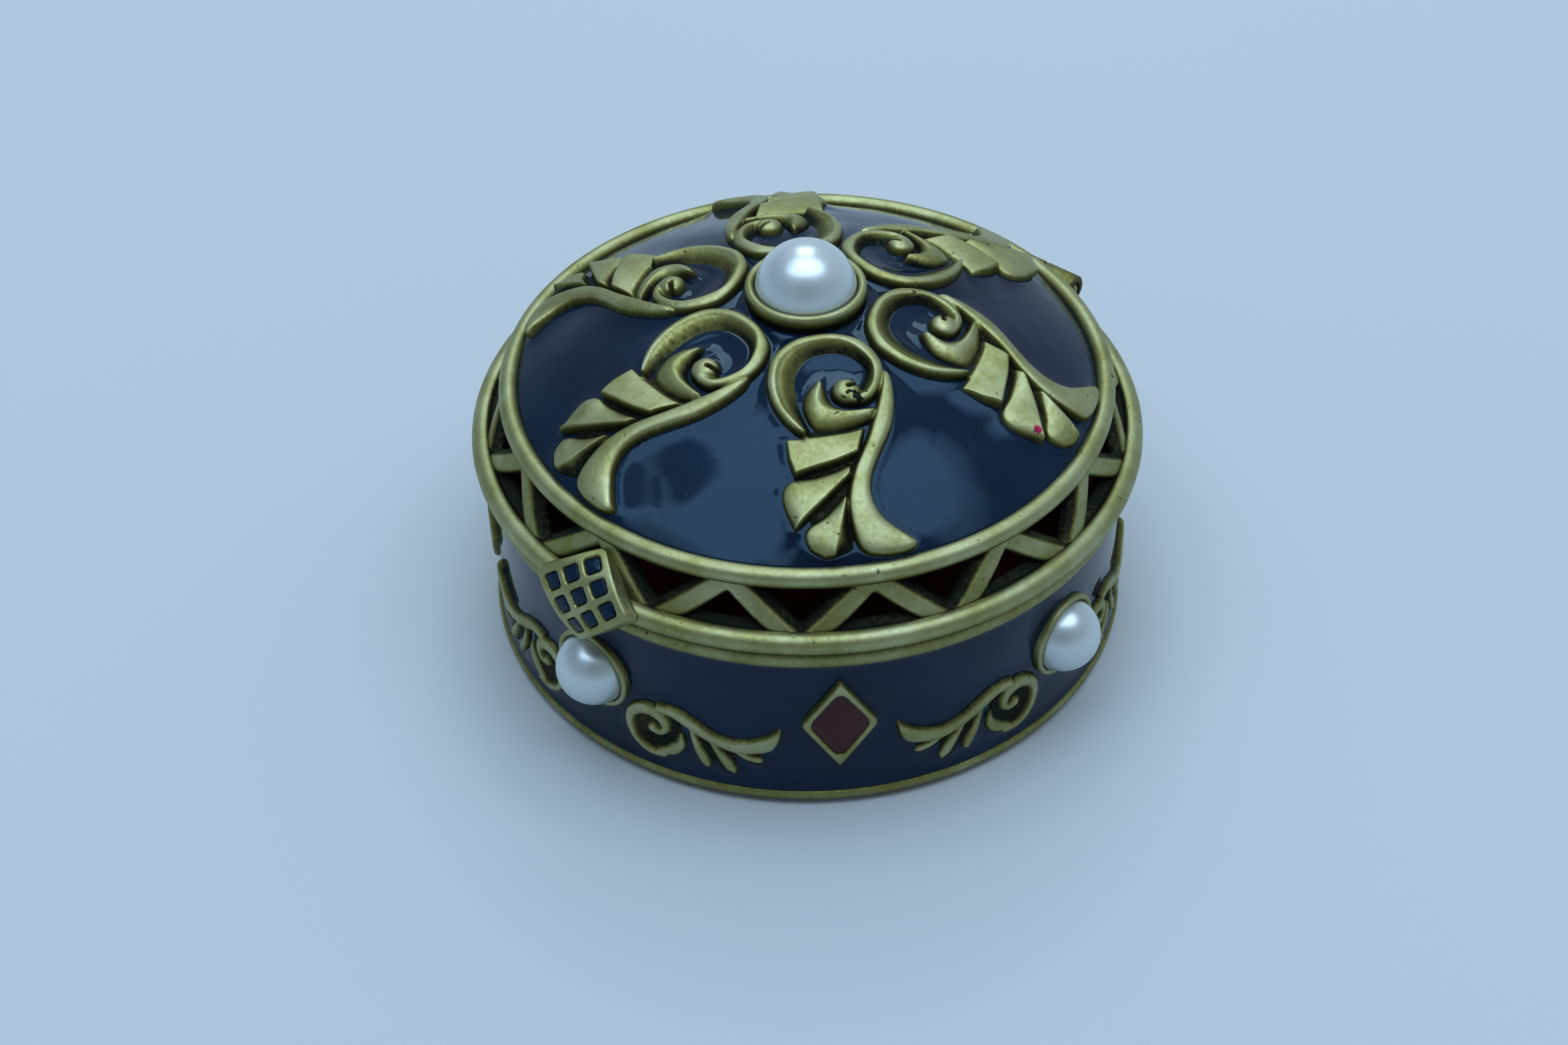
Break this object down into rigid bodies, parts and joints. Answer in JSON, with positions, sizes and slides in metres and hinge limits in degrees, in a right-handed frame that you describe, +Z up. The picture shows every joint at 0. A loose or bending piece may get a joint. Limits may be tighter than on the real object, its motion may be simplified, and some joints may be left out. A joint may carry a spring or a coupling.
{
  "type": "pill box",
  "caption": "Small round hinged pill box with an enamelled wall, a domed lid on a pierced zigzag gallery, raised scrolls, set half pearls and a thumb tab.",
  "frame": {"origin": "centre of the underside, on the surface the box stands on", "axes": "+Z up through the centre pearl; the thumb tab is at -Y, the hinge at +Y; +X to the right seen from the tab"},
  "size_m": [0.0576, 0.0585, 0.0341],
  "materials": {
    "brass": "antique, worn bright on the high places",
    "navy_enamel": "gloss",
    "maroon_enamel": "gloss",
    "pearl": "pearl lustre",
    "velvet": "short pile"
  },
  "bodies": {
    "base": {"base_cup": "brass", "base_enamel": "navy_enamel", "base_hinge": "brass", "hinge_pin": "brass", "wall_lining": "velvet", "floor_pad": "velvet", "base_scroll_1": "brass", "base_scroll_2": "brass", "base_scroll_3": "brass", "base_scroll_4": "brass", "base_scroll_5": "brass", "base_scroll_6": "brass", "base_scroll_7": "brass", "base_scroll_8": "brass", "side_bezel_1": "brass", "side_bezel_2": "brass", "side_bezel_3": "brass", "side_bezel_4": "brass", "side_pearl_1": "pearl", "side_pearl_2": "pearl", "side_pearl_3": "pearl", "side_pearl_4": "pearl", "lozenge_frame_1": "brass", "lozenge_frame_2": "brass", "lozenge_frame_3": "brass", "lozenge_frame_4": "brass", "lozenge_enamel_1": "maroon_enamel", "lozenge_enamel_2": "maroon_enamel", "lozenge_enamel_3": "maroon_enamel", "lozenge_enamel_4": "maroon_enamel"},
    "lid": {"lid_shell": "brass", "lid_enamel": "navy_enamel", "lid_hinge_1": "brass", "lid_hinge_2": "brass", "lid_lining": "velvet", "lid_tab": "brass", "tab_enamel_1": "navy_enamel", "tab_enamel_2": "navy_enamel", "tab_enamel_3": "navy_enamel", "tab_enamel_4": "navy_enamel", "tab_enamel_5": "navy_enamel", "tab_enamel_6": "navy_enamel", "tab_enamel_7": "navy_enamel", "tab_enamel_8": "navy_enamel", "tab_enamel_9": "navy_enamel", "lid_scroll_1": "brass", "lid_scroll_2": "brass", "lid_scroll_3": "brass", "lid_scroll_4": "brass", "lid_scroll_5": "brass", "lid_scroll_6": "brass", "centre_bezel": "brass", "centre_pearl": "pearl"}
  },
  "joints": [
    {"name": "lid_hinge_turn", "type": "hinge", "parent": "base", "child": "lid", "pos_m": [0, 0.02845, 0.01655], "axis": [-1, 0, 0], "range_deg": [0, 100]}
  ]
}
